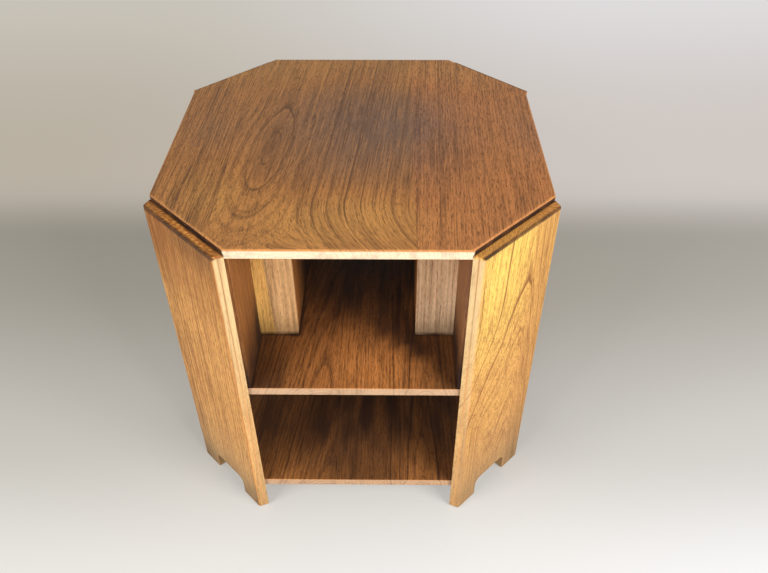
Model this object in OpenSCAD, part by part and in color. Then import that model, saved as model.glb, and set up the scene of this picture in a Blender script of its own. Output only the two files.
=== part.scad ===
// Octagonal book table in oak. A top and two shelves with cut corners stand between four corner
// panels, which run down to bracket feet. Dividers between the top and the middle shelf make open book
// bays on all four sides. The bottom shelf is open all through.
// Millimetres, +Z up. The origin is on the floor under the middle of the top, and the front faces -Y.

/* [Table top] */
// Width of the top across its straight edges
top_w = 500; // [450:1:560]
// Length of each straight edge, between the cut corners
edge_l = 280; // [250:1:300]
// Height of the top's upper face above the floor
table_h = 505; // [470:1:560]
// Thickness of the top
top_t = 13; // [11:0.5:18]
// Chamfer along the edges of the top and the shelves
board_chamfer = 1.2; // [0.5:0.1:3]
// Glue joint between the top's left and centre boards, measured from the middle
top_joint_left = -165; // [-190:1:-140]
// Glue joint between the top's centre and right boards, measured from the middle
top_joint_right = 77; // [50:1:110]

/* [Shelves] */
// Height of the middle shelf's upper face
middle_shelf_z = 268.5; // [240:0.5:300]
// Height of the bottom shelf's upper face
bottom_shelf_z = 61.5; // [60:0.5:90]
// Thickness of the shelves
shelf_t = 13; // [11:0.5:18]
// How far the shelves' straight edges stand back from the top's
shelf_setback = 3.5; // [1:0.5:8]
// Glue joint between the middle shelf's left and centre boards, measured from the middle
middle_joint_left = -25; // [-60:1:0]
// Glue joint between the middle shelf's centre and right boards, measured from the middle
middle_joint_right = 64; // [40:1:80]
// Glue joint between the bottom shelf's left and centre boards, measured from the middle
bottom_joint_left = -33; // [-60:1:0]
// Glue joint between the bottom shelf's centre and right boards, measured from the middle
bottom_joint_right = 67; // [40:1:80]

/* [Corner panels] */
// Thickness of the corner panels
panel_t = 14; // [12:0.5:20]
// How far the top's upper face stands above the panels' upper ends
top_step = 7; // [3:0.5:9]
// Angle of the mitre on the panels' upright edges
panel_mitre = 22.5; // [10:0.5:30]
// Rounding of the panels' outer arrises
panel_round = 3; // [1:0.5:5]
// Rounding of the panels' inner arrises
panel_ease = 1; // [0.5:0.1:2]
// Width of the cut-out between a panel's two feet
foot_gap_w = 68; // [50:1:90]
// Height of that cut-out
foot_gap_h = 37; // [25:1:45]
// Radius of the cut-out's upper corners
foot_gap_r = 12; // [4:1:20]

/* [Dividers] */
// Thickness of the cheeks, cross dividers and inner walls
divider_t = 10; // [8:0.5:12]
// Width of the channel that runs from front to back between the inner walls
channel_w = 167; // [140:1:190]
// How far the cheeks' faces stand in from the upright edges of the corner panels
cheek_inset = 3; // [0:0.5:8]
// How far the cross dividers' faces stand out from the upright edges of the corner panels
cross_outset = 4; // [0:0.5:8]
// How far the dividers' outer ends stand back from the shelves' edges
divider_setback = 1; // [0:0.5:8]
// Depth of the grooves that hold the dividers' upper and lower edges
groove_d = 3; // [2:0.5:3.5]
// How far the grooves stop short of the dividers' outer ends
groove_stop = 8; // [6:0.5:15]
// Clearance on each side of a divider in its groove
groove_clear = 0.1; // [0.05:0.05:0.3]

/* [Joinery] */
// Diameter of the dowels between the shelves and the corner panels
dowel_d = 6; // [4:0.5:7]
// Length of a dowel
dowel_l = 26; // [20:1:32]
// How deep a dowel goes into its corner panel
dowel_seat = 8; // [5:0.5:9]
// Distance between the dowels of one joint
dowel_pitch = 40; // [30:1:50]
// Clearance round a dowel, and beyond each of its ends
dowel_clear = 0.1; // [0.05:0.05:0.3]
// Height and depth of the corner blocks under the top
block_w = 20; // [18:1:26]
// Chamfer along a corner block's free edge
block_chamfer = 8; // [4:0.5:8]
// Room between the ends of a corner block and the dividers beside it
block_gap = 4; // [1:0.5:8]
// Diameter of the wood screws' shanks
screw_d = 4; // [3:0.5:5]
// Diameter of the wood screws' heads
screw_head_d = 8; // [6:0.5:9]
// How far a screw goes into the top
screw_bite = 7; // [5:0.5:9]
// Distance between the two screws of a corner block
screw_pitch = 50; // [30:1:60]
// Distance of the screws from the corner panel's face
screw_inset = 7; // [5:0.5:9]
// Clearance round a screw in the wood
screw_clear = 0.1; // [0.05:0.05:0.3]
// Height and depth of the glue blocks under the bottom shelf
glue_block_w = 11; // [8:0.5:14]
// Length of those glue blocks
glue_block_l = 110; // [60:1:130]

/* [Hidden] */
$fn = 48;
past = 1;
half_w = top_w / 2;
half_edge = edge_l / 2;
corner_d = (half_w + half_edge) / sqrt(2);
panel_half = (half_w - half_edge) / sqrt(2);
panel_h = table_h - top_step;
outer_half = panel_half - panel_t * tan(panel_mitre);
top_under = table_h - top_t;
shelf_w = top_w - 2 * shelf_setback;
cheek_x = half_edge - cheek_inset;
cross_y = half_edge + cross_outset;
divider_end = shelf_w / 2 - divider_setback;
channel_x = channel_w / 2;
corner_diagonal = corner_d * sqrt(2);
block_middle = (cross_y - cheek_x - divider_t) / sqrt(2);
block_l = (corner_diagonal - cross_y - cheek_x - divider_t) * sqrt(2) - 2 * block_w - 2 * block_gap;
screw_head_h = (screw_head_d - screw_d) / 2;

BOARDS = ["left", "centre", "right"];
CORNERS = [["front_left", -1, -1], ["front_right", 1, -1], ["back_left", -1, 1], ["back_right", 1, 1]];
SIDES = [["left", -1], ["right", 1]];
TOP_JOINTS = [-half_w - past, top_joint_left, top_joint_right, half_w + past];
MIDDLE_JOINTS = [-half_w - past, middle_joint_left, middle_joint_right, half_w + past];
BOTTOM_JOINTS = [-half_w - past, bottom_joint_left, bottom_joint_right, half_w + past];

function unit(v) = v / norm(v);

// A convex outline with each corner rounded by its own radius
module eased(points, radii) {
    n = len(points);
    towards = [for (i = [0 : n - 1]) unit(points[(i + 1) % n] - points[i])];
    back = [for (i = [0 : n - 1]) unit(points[(i + n - 1) % n] - points[i])];
    half = [for (i = [0 : n - 1]) acos(towards[i] * back[i]) / 2];
    reach = [for (i = [0 : n - 1]) radii[i] / tan(half[i])];
    polygon([for (i = [0 : n - 1]) each [points[i] + back[i] * reach[i], points[i] + towards[i] * reach[i]]]);
    for (i = [0 : n - 1])
        if (radii[i] > 0)
            translate(points[i] + unit(towards[i] + back[i]) * radii[i] / sin(half[i]))
                circle(radii[i]);
}

// Puts a piece made in the back right quarter into one of the four quarters
module in_quarter(side, end) {
    mirror([side < 0 ? 1 : 0, 0, 0])
        mirror([0, end < 0 ? 1 : 0, 0])
            children();
}

// Turns +X to point out through a cut corner, with +Y along the corner panel
module at_corner(side, end) {
    in_quarter(side, end)
        rotate([0, 0, 45])
            children();
}

// A long bar with chamfered edges, across the table at an angle
module edge_bar(w, t, turn) {
    c = board_chamfer;
    rotate([90, 0, turn])
        linear_extrude(2 * top_w, center = true)
            translate([-w / 2, 0])
                polygon([[c, 0], [w - c, 0], [w, c], [w, t - c], [w - c, t], [c, t], [0, t - c], [0, c]]);
}

// A whole top or shelf: eight sides, with the cut corners against the corner panels
module octagon_board(w, t) {
    intersection() {
        edge_bar(w, t, 0);
        edge_bar(w, t, 90);
        edge_bar(2 * corner_d, t, 45);
        edge_bar(2 * corner_d, t, 135);
    }
}

// The stretch of a top or shelf between two of its glue joints
module between_joints(joints, board, t) {
    intersection() {
        children();
        translate([joints[board], -top_w, -past])
            cube([joints[board + 1] - joints[board], 2 * top_w, t + 2 * past]);
    }
}

// Everything inside the faces of the corner panels
module inside_panels() {
    intersection() {
        union()
            children();
        linear_extrude(table_h)
            intersection_for (turn = [0, 45])
                rotate(turn)
                    square(2 * (turn == 0 ? half_w : corner_d), center = true);
    }
}

// The part of an upright board that stands in the grooves. With slack it cuts those grooves.
module tongue(x, y, slack) {
    low = middle_shelf_z - groove_d;
    high = top_under + groove_d - (slack > 0 ? 0 : groove_clear);
    translate([x[0] - slack, y[0] - slack, low])
        cube([x[1] - x[0] + 2 * slack, y[1] - y[0] + 2 * slack, high - low]);
}

// The part of an upright board that shows between the middle shelf and the top
module upright(x, y) {
    translate([x[0], y[0], middle_shelf_z])
        cube([x[1] - x[0], y[1] - y[0], top_under - middle_shelf_z]);
}

module cheek_tongue(side, end, slack = 0) {
    in_quarter(side, end)
        tongue([cheek_x, cheek_x + divider_t], [cross_y, divider_end - groove_stop], slack);
}

module cross_tongue(side, end, slack = 0) {
    in_quarter(side, end)
        tongue([channel_x, divider_end - groove_stop], [cross_y - divider_t, cross_y], slack);
}

module inner_wall_tongue(side, slack = 0) {
    reach = cross_y - divider_t;
    in_quarter(side, 1)
        tongue([channel_x, channel_x + divider_t], [-reach, reach], slack);
}

// The grooves for all the dividers
module grooves() {
    for (c = CORNERS) {
        cheek_tongue(c[1], c[2], groove_clear);
        cross_tongue(c[1], c[2], groove_clear);
    }
    for (s = SIDES)
        inner_wall_tongue(s[1], groove_clear);
}

// One dowel with chamfered ends, lying along -X from the bottom of its hole in the panel
module dowel() {
    tip = dowel_d / 8;
    rotate([0, -90, 0])
        rotate_extrude()
            polygon([
                [0, 0], [dowel_d / 2 - tip, 0], [dowel_d / 2, tip],
                [dowel_d / 2, dowel_l - tip], [dowel_d / 2 - tip, dowel_l], [0, dowel_l]
            ]);
}

module dowel_hole() {
    translate([dowel_clear, 0, 0])
        rotate([0, -90, 0])
            cylinder(h = dowel_l + 2 * dowel_clear, d = dowel_d + 2 * dowel_clear);
}

// The places of one shelf's dowels at one corner, in the middle of the shelf's thickness
module at_dowels(shelf_z) {
    for (i = [-1 : 1])
        translate([corner_d + dowel_seat, i * dowel_pitch, shelf_z - shelf_t / 2])
            children();
}

// One countersunk wood screw, pointing up from the underside of its block
module screw(slack = 0) {
    r = screw_d / 2 + slack;
    head_r = screw_head_d / 2 + slack;
    length = block_w + screw_bite;
    rotate_extrude()
        polygon([[0, 0], [head_r, 0], [r, screw_head_h], [r, length - r], [0, length + slack]]);
}

module at_screws() {
    for (i = [-1, 1])
        translate([corner_d - screw_inset, block_middle + i * screw_pitch / 2, top_under - block_w])
            children();
}

module top_board(board) {
    color("#a06c44")
        difference() {
            translate([0, 0, top_under])
                between_joints(TOP_JOINTS, board, top_t)
                    octagon_board(top_w, top_t);
            grooves();
            for (c = CORNERS)
                at_corner(c[1], c[2])
                    at_screws()
                        screw(screw_clear);
        }
}

// One board of a shelf, with the holes for its dowels
module shelf_blank(shelf_z, joints, board) {
    difference() {
        translate([0, 0, shelf_z - shelf_t])
            between_joints(joints, board, shelf_t)
                octagon_board(shelf_w, shelf_t);
        for (c = CORNERS)
            at_corner(c[1], c[2])
                at_dowels(shelf_z)
                    dowel_hole();
    }
}

module middle_shelf_board(board) {
    color("#7d4f2d")
        difference() {
            shelf_blank(middle_shelf_z, MIDDLE_JOINTS, board);
            grooves();
        }
}

module bottom_shelf_board(board) {
    color("#7d4f2d")
        shelf_blank(bottom_shelf_z, BOTTOM_JOINTS, board);
}

// The outline of a corner panel from above, with its mitred and rounded upright edges
module panel_plan() {
    eased(
        [[corner_d, -panel_half], [corner_d + panel_t, -outer_half],
         [corner_d + panel_t, outer_half], [corner_d, panel_half]],
        [panel_ease, panel_round, panel_round, panel_ease]
    );
}

// The outline of a corner panel from its end, with its rounded upper arrises
module panel_section() {
    translate([corner_d, 0])
        eased([[0, 0], [panel_t, 0], [panel_t, panel_h], [0, panel_h]], [0, 0, panel_round, panel_ease]);
}

// The cut-out that leaves two bracket feet
module foot_gap() {
    side = foot_gap_w / 2;
    translate([corner_d - past, 0, 0])
        rotate([90, 0, 90])
            linear_extrude(panel_t + 2 * past)
                eased(
                    [[-side, -past], [side, -past], [side, foot_gap_h], [-side, foot_gap_h]],
                    [0, 0, foot_gap_r, foot_gap_r]
                );
}

module corner_panel(side, end) {
    color("#c08c54")
        at_corner(side, end)
            difference() {
                intersection() {
                    linear_extrude(panel_h)
                        panel_plan();
                    rotate([90, 0, 0])
                        linear_extrude(2 * panel_half + 2 * past, center = true)
                            panel_section();
                }
                foot_gap();
                at_dowels(middle_shelf_z)
                    dowel_hole();
                at_dowels(bottom_shelf_z)
                    dowel_hole();
            }
}

module cheek(side, end) {
    color("#8e5c35")
        inside_panels() {
            cheek_tongue(side, end);
            in_quarter(side, end)
                upright([cheek_x, cheek_x + divider_t], [cross_y, divider_end]);
        }
}

module cross_divider(side, end) {
    color("#996538")
        inside_panels() {
            cross_tongue(side, end);
            in_quarter(side, end)
                upright([channel_x, divider_end], [cross_y - divider_t, cross_y]);
        }
}

module inner_wall(side) {
    color("#7a4b2a")
        inner_wall_tongue(side);
}

module shelf_dowels(shelf_z) {
    color("#d8b98a")
        for (c = CORNERS)
            at_corner(c[1], c[2])
                at_dowels(shelf_z)
                    dowel();
}

module corner_block(side, end) {
    flat = block_w - block_chamfer;
    color("#c9a36d")
        at_corner(side, end)
            difference() {
                translate([corner_d, block_middle + block_l / 2, top_under])
                    rotate([90, 0, 0])
                        linear_extrude(block_l)
                            polygon([
                                [0, 0], [-block_w, 0], [-block_w, -flat], [-flat, -block_w], [0, -block_w]
                            ]);
                at_screws()
                    screw(screw_clear);
            }
}

module corner_block_screws() {
    color("#8a8072")
        for (c = CORNERS)
            at_corner(c[1], c[2])
                at_screws()
                    screw();
}

module glue_block(side, end) {
    color("#c9a36d")
        at_corner(side, end)
            translate([corner_d, glue_block_l / 2, bottom_shelf_z - shelf_t])
                rotate([90, 0, 0])
                    linear_extrude(glue_block_l)
                        polygon([[0, 0], [-glue_block_w, 0], [0, -glue_block_w]]);
}

for (b = [0 : 2]) {
    top_board(b);
    middle_shelf_board(b);
    bottom_shelf_board(b);
}
for (c = CORNERS) {
    corner_panel(c[1], c[2]);
    corner_block(c[1], c[2]);
    glue_block(c[1], c[2]);
    cheek(c[1], c[2]);
    cross_divider(c[1], c[2]);
}
for (s = SIDES)
    inner_wall(s[1]);
shelf_dowels(middle_shelf_z);  // middle_shelf_dowels
shelf_dowels(bottom_shelf_z);  // bottom_shelf_dowels
corner_block_screws();
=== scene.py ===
"""Octagonal book table in stained oak: the finished looks on its packed construction.

Every board is rebuilt with rubbed arrises, and its points carry their place in the tree that the board
was sawn from. One oak finish then shows rings, pores and end grain on every face of it.
"""
import math
from collections import namedtuple

import bmesh
import bpy
import numpy as np
from bpy.props import FloatProperty, FloatVectorProperty, IntProperty, PointerProperty
from mathutils import Matrix, Vector


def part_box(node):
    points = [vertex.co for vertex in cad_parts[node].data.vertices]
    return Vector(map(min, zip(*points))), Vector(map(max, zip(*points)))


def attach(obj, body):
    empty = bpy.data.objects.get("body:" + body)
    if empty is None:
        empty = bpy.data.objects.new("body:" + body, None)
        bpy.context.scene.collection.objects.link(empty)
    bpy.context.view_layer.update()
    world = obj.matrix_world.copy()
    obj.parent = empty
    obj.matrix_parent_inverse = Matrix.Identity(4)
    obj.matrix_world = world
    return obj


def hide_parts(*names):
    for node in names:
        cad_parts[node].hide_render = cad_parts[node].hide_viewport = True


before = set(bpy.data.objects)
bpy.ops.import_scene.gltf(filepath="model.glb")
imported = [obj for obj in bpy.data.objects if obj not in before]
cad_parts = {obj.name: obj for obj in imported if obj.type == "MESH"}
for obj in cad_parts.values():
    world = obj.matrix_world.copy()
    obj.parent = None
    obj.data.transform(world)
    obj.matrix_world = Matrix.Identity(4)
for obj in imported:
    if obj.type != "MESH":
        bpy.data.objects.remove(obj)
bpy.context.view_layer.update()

bl_info = {
    "name": "Oak Book Table",
    "version": (1, 0, 0),
    "blender": (4, 5, 0),
    "location": "View3D > Sidebar > Book Table",
    "description": "Builds the boards, panels and fixings of an octagonal oak book table, and a plain stage",
    "category": "Object",
}

MM = 0.001
CORNERS = {"front_left": (-1, -1), "front_right": (1, -1), "back_left": (-1, 1), "back_right": (1, 1)}
BOARDS = ("left", "centre", "right")
RIGHT, BACK, UP = Vector((1, 0, 0)), Vector((0, 1, 0)), Vector((0, 0, 1))
# Parts of an arris, the angle from which an edge stays sharp, and how far the lines on a board may reach
ARRIS_STEPS = 4
SHARP_ANGLE = math.radians(35)
LINE_REACH = 0.6
# Places this near each other count as the same: where lines are drawn, and where boards meet
SNAP = 1e-6
HAIR = 0.1 * MM
# How far along the tree the next log starts
NEXT_LOG = 5.0
# Depth of the line along the middle of a panel's mitred edge
MITRE_LINE = 7 * MM
SENSOR_WIDTH = 36
# The floor's size, how far it lies below the feet, its paint, and the painted light that makes it lighter on
# the right
FLOOR_RADIUS = 7.0
FLOOR_SIDES = 96
FLOOR_DROP = 0.3 * MM
FLOOR_PAINT = (0.78, 0.775, 0.765)
FLOOR_RIGHT = (1.12, 1.12, 1.18)
# The right lamp's place, which the left one mirrors, the point they shine on and their size
LAMP_PLACE = (1.5, -1.5, 1.2)
LAMP_TARGET = Vector((0, 0, 0.3))
LAMP_SIZE = 1.3
ROOM_LIGHT = (0.97, 0.985, 1.0)
# How worn a corner panel is: the places of its two dark lines, and the strength of each kind of wear
# The dust strength also paints light bounced up from the floor onto the feet
PanelWear = namedtuple("PanelWear", "inner_line outer_line joint end_grain pale beside_joint dust")
BRIGHT_PANEL = PanelWear(2.4 * MM, 10 * MM, 0.45, 0.65, 0.45, 0.5, 0.2)
DULL_PANEL = PanelWear(5.4 * MM, 9.4 * MM, 0.6, 1.0, 0.0, 0.3, 0.4)
# Growth rings that stand out in the top's right board, in the arched panel and in the top's centre board:
# radius, width and strength
RIGHT_RINGS = [(250 * MM, 4 * MM, 0.35), (277.5 * MM, 3.5 * MM, 0.8), (296 * MM, 2 * MM, 0.4)]
PANEL_RINGS = [
    (38 * MM, 2.5 * MM, 0.5), (51.2 * MM, 3 * MM, 0.5), (73.2 * MM, 2 * MM, 0.45), (79.1 * MM, 2.2 * MM, 0.5),
    (98.5 * MM, 3.2 * MM, 0.95), (121 * MM, 2 * MM, 1.0), (134 * MM, 2 * MM, 0.45), (146 * MM, 2 * MM, 0.4),
]
TOP_RINGS = [
    (40 * MM, 6 * MM, 0.5), (40 * MM, 1.4 * MM, 0.9), (41.2 * MM, 0.6 * MM, 0.9), (46.6 * MM, 1.0 * MM, 0.85),
    (55.9 * MM, 1.4 * MM, 0.5), (68.4 * MM, 1.6 * MM, 0.35), (76.7 * MM, 1.6 * MM, 0.4),
    (87.2 * MM, 2.0 * MM, 0.85), (103 * MM, 2.2 * MM, 0.9), (122.7 * MM, 2.2 * MM, 0.85),
    (141.8 * MM, 2.2 * MM, 0.75), (178 * MM, 6 * MM, 0.5),
]


def reach(prefix):
    """Lowest and highest corners of all the nodes whose names start alike."""
    boxes = [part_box(name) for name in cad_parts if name.startswith(prefix)]
    return Vector(map(min, *(b[0] for b in boxes))), Vector(map(max, *(b[1] for b in boxes)))


TOP = reach("top_board_")
MIDDLE_SHELF = reach("middle_shelf_board_")
BOTTOM_SHELF = reach("bottom_shelf_board_")
BAY_Z = (MIDDLE_SHELF[1].z, TOP[0].z)
HALF_TOP = TOP[1].x
# On the line of a cut corner, |x| + |y| is the same all along
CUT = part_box("top_board_left")[1].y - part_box("top_board_left")[1].x
PANEL_INNER = CUT / math.sqrt(2)
PANEL_HALF = (2 * HALF_TOP - CUT) / math.sqrt(2)


def corner_axes(corner):
    """Directions out through a cut corner and along its panel, level with the floor."""
    out = Vector((*CORNERS[corner], 0)).normalized()
    return out, UP.cross(out)


def panel_thickness():
    """Thickness of a corner panel, read from its construction."""
    out, _ = corner_axes("back_right")
    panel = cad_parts["corner_panel_back_right"].data
    return max(v.co.dot(out) for v in panel.vertices) - PANEL_INNER


PANEL_T = panel_thickness()
PANEL_TOP = reach("corner_panel_")[1].z


def shade(red, green, blue):
    """A colour as it looks on a screen, 0 to 255, turned into a light value for a shader."""
    shares = (red / 255, green / 255, blue / 255)
    return tuple(((c + 0.055) / 1.055) ** 2.4 if c > 0.0405 else c / 12.92 for c in shares)


def tint(name, description, rgb):
    """A colour that a user can change."""
    return FloatVectorProperty(
        name=name, description=description, subtype="COLOR", size=3, min=0, max=1, default=shade(*rgb)
    )


def length(name, description, size):
    """A size that a user can change."""
    return FloatProperty(name=name, description=description, unit="LENGTH", min=0, default=size)


class BoardSizes(bpy.types.PropertyGroup):
    """Sizes of the boards' finished edges and of the panels' feet."""

    top_arris: length("Top arris", "Rounding of the edges of the top", 2.6 * MM)
    under_arris: length("Under arris", "Rounding of the lower edges of the top", 0.8 * MM)
    shelf_arris: length("Shelf arris", "Rounding of the edges of the shelves", 1.4 * MM)
    panel_arris: length("Panel arris", "Rounding of the corner panels' outer edges", 3 * MM)
    inner_arris: length("Inner arris", "Rounding of the panels' inner edges and of the dividers", 0.9 * MM)
    foot_arris: length("Foot arris", "Rounding of the edges of the cut-out between two feet", 1 * MM)
    sole_arris: length("Sole arris", "Rounding of the worn edges under the feet", 4 * MM)
    joint_arris: length("Joint arris", "Softening along the glue joints between boards", 0.12 * MM)
    foot_gap_width: length("Foot gap width", "Width of the cut-out between two feet", 68 * MM)
    foot_gap_height: length("Foot gap height", "Height of the cut-out between two feet", 37 * MM)
    foot_gap_radius: length("Foot gap radius", "Radius of the cut-out's upper corners", 12 * MM)
    mitre: FloatProperty(
        name="Mitre",
        description="Angle of the mitre on the panels' upright edges",
        subtype="ANGLE",
        default=math.radians(22.5),
    )


class FixingSizes(bpy.types.PropertyGroup):
    """Sizes of the dowels and screws."""

    dowel_diameter: length("Dowel diameter", "Diameter over a dowel's ribs", 6 * MM)
    dowel_length: length("Dowel length", "Length of a dowel", 26 * MM)
    dowel_seat: length("Dowel seat", "How deep a dowel goes into its panel", 8 * MM)
    dowel_pitch: length("Dowel pitch", "Distance between the dowels of one joint", 40 * MM)
    dowel_flutes: IntProperty(
        name="Dowel flutes", description="Number of ribs round a dowel", default=18, min=3
    )
    screw_diameter: length("Screw diameter", "Diameter of a screw's shank", 4 * MM)
    screw_head: length("Screw head", "Diameter of a screw's head", 8 * MM)
    screw_thread: length("Screw thread", "Distance between two turns of the thread", 1.8 * MM)
    screw_pitch: length("Screw distance", "Distance between the screws of one block", 50 * MM)
    screw_inset: length("Screw inset", "Distance of the screws from the panel's face", 7 * MM)


class Colours(bpy.types.PropertyGroup):
    """Colours of the oak and of the hidden woods and metal."""

    top_body: tint("Top", "Stained oak of the top", (202, 138, 78))
    top_red: tint("Red top", "Redder oak of the top's right board", (206, 135, 80))
    top_line: tint("Top rings", "Dark growth rings in the top", (84, 55, 36))
    # Towards the back of the top this paler colour is a painted sheen
    top_pale_and_sheen: tint("Light top", "Paler oak towards the front and the back of the top", (242, 178, 98))
    top_edge: tint("Top edges", "Cut edges of the top, where the stain has worn away", (234, 212, 182))
    panel_body: tint("Panels", "Stained oak of the corner panels", (216, 160, 89))
    panel_line: tint("Panel rings", "Dark growth rings in the panels", (126, 74, 30))
    panel_deep: tint("Deep panels", "Deeper stain towards the ends of a panel", (138, 84, 27))
    panel_edge: tint("Panel edges", "Mitred edges of the panels", (220, 190, 140))
    panel_end: tint("Panel ends", "Stained end grain of the panels and feet", (158, 87, 30))
    end_streak: tint("End streaks", "Paler streaks in the end grain", (253, 179, 85))
    shelf_body: tint("Shelves", "Stained oak of the shelves", (205, 133, 70))
    shelf_line: tint("Shelf rings", "Dark growth rings in the shelves", (54, 30, 16))
    shelf_edge: tint("Shelf edges", "Cut edges of the shelves", (197, 161, 128))
    cheek_body: tint("Cheeks", "Stained oak of the cheeks and inner walls", (163, 104, 49))
    divider_body: tint("Cross dividers", "Paler oak of the cross dividers", (255, 206, 147))
    divider_line: tint("Divider rings", "Dark growth rings in the upright boards", (114, 71, 42))
    golden: tint("Golden oak", "Where the finish has stayed clear and yellow", (245, 205, 102))
    sapwood: tint("Sapwood", "Pale streak in a divider", (255, 198, 102))
    rubbed: tint("Rubbed arrises", "Oak where hands have rubbed the stain away", (214, 146, 84))
    veil: tint("Grey veil", "Old wax that greys the top", (88, 90, 96))
    pale_veil: tint("Pale veil", "Dust and wax that grey the dividers", (226, 202, 178))
    # The old stain colour also paints shade: deep in the bays, in corners and along the feet of the uprights
    stain_and_shade: tint("Old stain", "Stain and wax gathered in corners and end grain", (47, 26, 14))
    dowel: tint("Dowels", "Bare beech", (214, 178, 134))
    pine: tint("Blocks", "Bare pine", (208, 168, 112))
    steel: tint("Screws", "Dull steel", (168, 164, 156))


class Stage(bpy.types.PropertyGroup):
    """Camera, light and floor."""

    camera_place: FloatVectorProperty(
        name="Camera", description="Where the camera stands", subtype="XYZ", unit="LENGTH",
        default=(0.048, -0.9007, 1.0183),
    )
    camera_pitch: FloatProperty(
        name="Pitch", description="How far the camera looks down", subtype="ANGLE",
        default=math.radians(41.036),
    )
    camera_yaw: FloatProperty(
        name="Yaw", description="How far the camera looks to the right", subtype="ANGLE",
        default=math.radians(-0.687),
    )
    camera_roll: FloatProperty(
        name="Roll", description="How far the camera leans", subtype="ANGLE", default=math.radians(-0.2)
    )
    lens: FloatProperty(name="Lens", description="Focal length, on a sensor 36 mm wide", default=34.84)
    key_power: FloatProperty(
        name="Key light", description="Power of the right light", unit="POWER", default=56
    )
    fill_power: FloatProperty(
        name="Fill light", description="Power of the left light", unit="POWER", default=42
    )
    world_level: FloatProperty(name="Room light", description="Light from all round", default=0.14)
    floor_evenness: FloatProperty(
        name="Even floor", description="Share of the floor's look that its shadows don't change",
        default=0.55, min=0, max=1,
    )
    floor_front: tint("Front floor", "Pale floor in front of the table", (244, 245, 243))
    floor_shade: tint("Shaded floor", "Floor in soft shade behind the table", (146, 139, 122))
    floor_back: tint("Back floor", "Lighter floor beyond that shade", (197, 190, 181))
    floor_left: tint("Left floor", "Shade of the floor on the left", (241, 238, 230))
    background: tint("Background", "Farthest floor, and the room beyond it", (212, 209, 205))


class TableSettings(bpy.types.PropertyGroup):
    """All the settings of the book table."""

    boards: PointerProperty(type=BoardSizes)
    fixings: PointerProperty(type=FixingSizes)
    colours: PointerProperty(type=Colours)
    stage: PointerProperty(type=Stage)


class Value:
    """An output of a node. Sums of such values add Math nodes to their tree."""

    def __init__(self, work, socket):
        self.work = work
        self.socket = socket

    def out(self, name):
        """Another output of the same node."""
        return Value(self.work, self.socket.node.outputs[name])

    def math(self, operation, *terms):
        """A Math node on the terms, or on this value alone."""
        return self.work.node("ShaderNodeMath", {"operation": operation}, dict(enumerate(terms or (self,))))

    def __add__(self, other):
        return self.math("ADD", self, other)

    def __sub__(self, other):
        return self.math("SUBTRACT", self, other)

    def __rsub__(self, other):
        return self.math("SUBTRACT", other, self)

    def __mul__(self, other):
        return self.math("MULTIPLY", self, other)

    def __truediv__(self, other):
        return self.math("DIVIDE", self, other)

    def __rtruediv__(self, other):
        return self.math("DIVIDE", other, self)

    def __pow__(self, other):
        return self.math("POWER", self, other)

    __radd__ = __add__
    __rmul__ = __mul__

    def most(self, other):
        return self.math("MAXIMUM", self, other)

    def rise(self, low, high):
        """0 below low, 1 above high and a smooth slope between them."""
        span = {"Value": self, "From Min": low, "From Max": high}
        return self.work.node("ShaderNodeMapRange", {"interpolation_type": "SMOOTHSTEP"}, span)


def find_socket(node, name):
    """An input that is in use, by its number or its name."""
    if isinstance(name, int):
        return node.inputs[name]
    return next(s for s in node.inputs if s.name == name and s.enabled)


class NodeWork:
    """A node tree under construction."""

    def __init__(self, tree):
        self.tree = tree

    def node(self, kind, settings=None, sockets=None, out=0):
        """Adds a node, sets it up, fills or links its sockets and returns one of its outputs."""
        made = self.tree.nodes.new(kind)
        for name, setting in (settings or {}).items():
            setattr(made, name, setting)
        for name, content in (sockets or {}).items():
            socket = find_socket(made, name)
            for one in content if isinstance(content, list) else [content]:
                if isinstance(one, Value):
                    self.tree.links.new(one.socket, socket)
                elif socket.type == "RGBA" and len(one) == 3:
                    socket.default_value = (*one, 1)
                else:
                    socket.default_value = one
        shown = [s for s in made.outputs if s.enabled]
        return Value(self, shown[out]) if shown else None


class Finish(NodeWork):
    """A material or a room's light under construction."""

    def __init__(self, name, kind="materials"):
        self.made = getattr(bpy.data, kind).new(name)
        self.made.use_nodes = True
        super().__init__(self.made.node_tree)
        self.tree.nodes.clear()

    def scaled(self, vector, factors):
        return self.node("ShaderNodeVectorMath", {"operation": "MULTIPLY"}, {0: vector, 1: factors})

    def sum(self, first, second):
        return self.node("ShaderNodeVectorMath", {"operation": "ADD"}, {0: first, 1: second})

    def shifted(self, colour):
        """A noise's colour as a vector that points equally far to all sides."""
        return self.node("ShaderNodeVectorMath", {"operation": "SUBTRACT"}, {0: colour, 1: (0.5, 0.5, 0.5)})

    def noise(self, vector, factors=(1, 1, 1), detail=2.0, roughness=0.5):
        """Soft noise whose grains are 1 / factors long, in metres."""
        sockets = {"Vector": self.scaled(vector, factors), "Scale": 1.0}
        sockets.update({"Detail": detail, "Roughness": roughness})
        return self.node("ShaderNodeTexNoise", {"noise_dimensions": "3D"}, sockets)

    def mix(self, factor, first, second, blend="MIX"):
        settings = {"data_type": "RGBA", "blend_type": blend, "clamp_factor": True}
        return self.node("ShaderNodeMix", settings, {"Factor": factor, "A": first, "B": second})

    def bump(self, height, depth, strength=1.0):
        return self.node("ShaderNodeBump", {}, {"Height": height, "Distance": depth, "Strength": strength})

    def seen(self):
        """1 for rays that show something straight, by reflection or through glass, and 0 for other light."""
        rays = self.node("ShaderNodeLightPath")
        return rays.most(rays.out("Is Glossy Ray")).most(rays.out("Is Transmission Ray"))

    def done(self, **sockets):
        """Finishes the material with one Principled shader. Names use _ for a space."""
        named = {name.replace("_", " "): content for name, content in sockets.items()}
        surface = self.node("ShaderNodeBsdfPrincipled", {}, named)
        self.node("ShaderNodeOutputMaterial", {}, {"Surface": surface})
        return self.made


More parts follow.
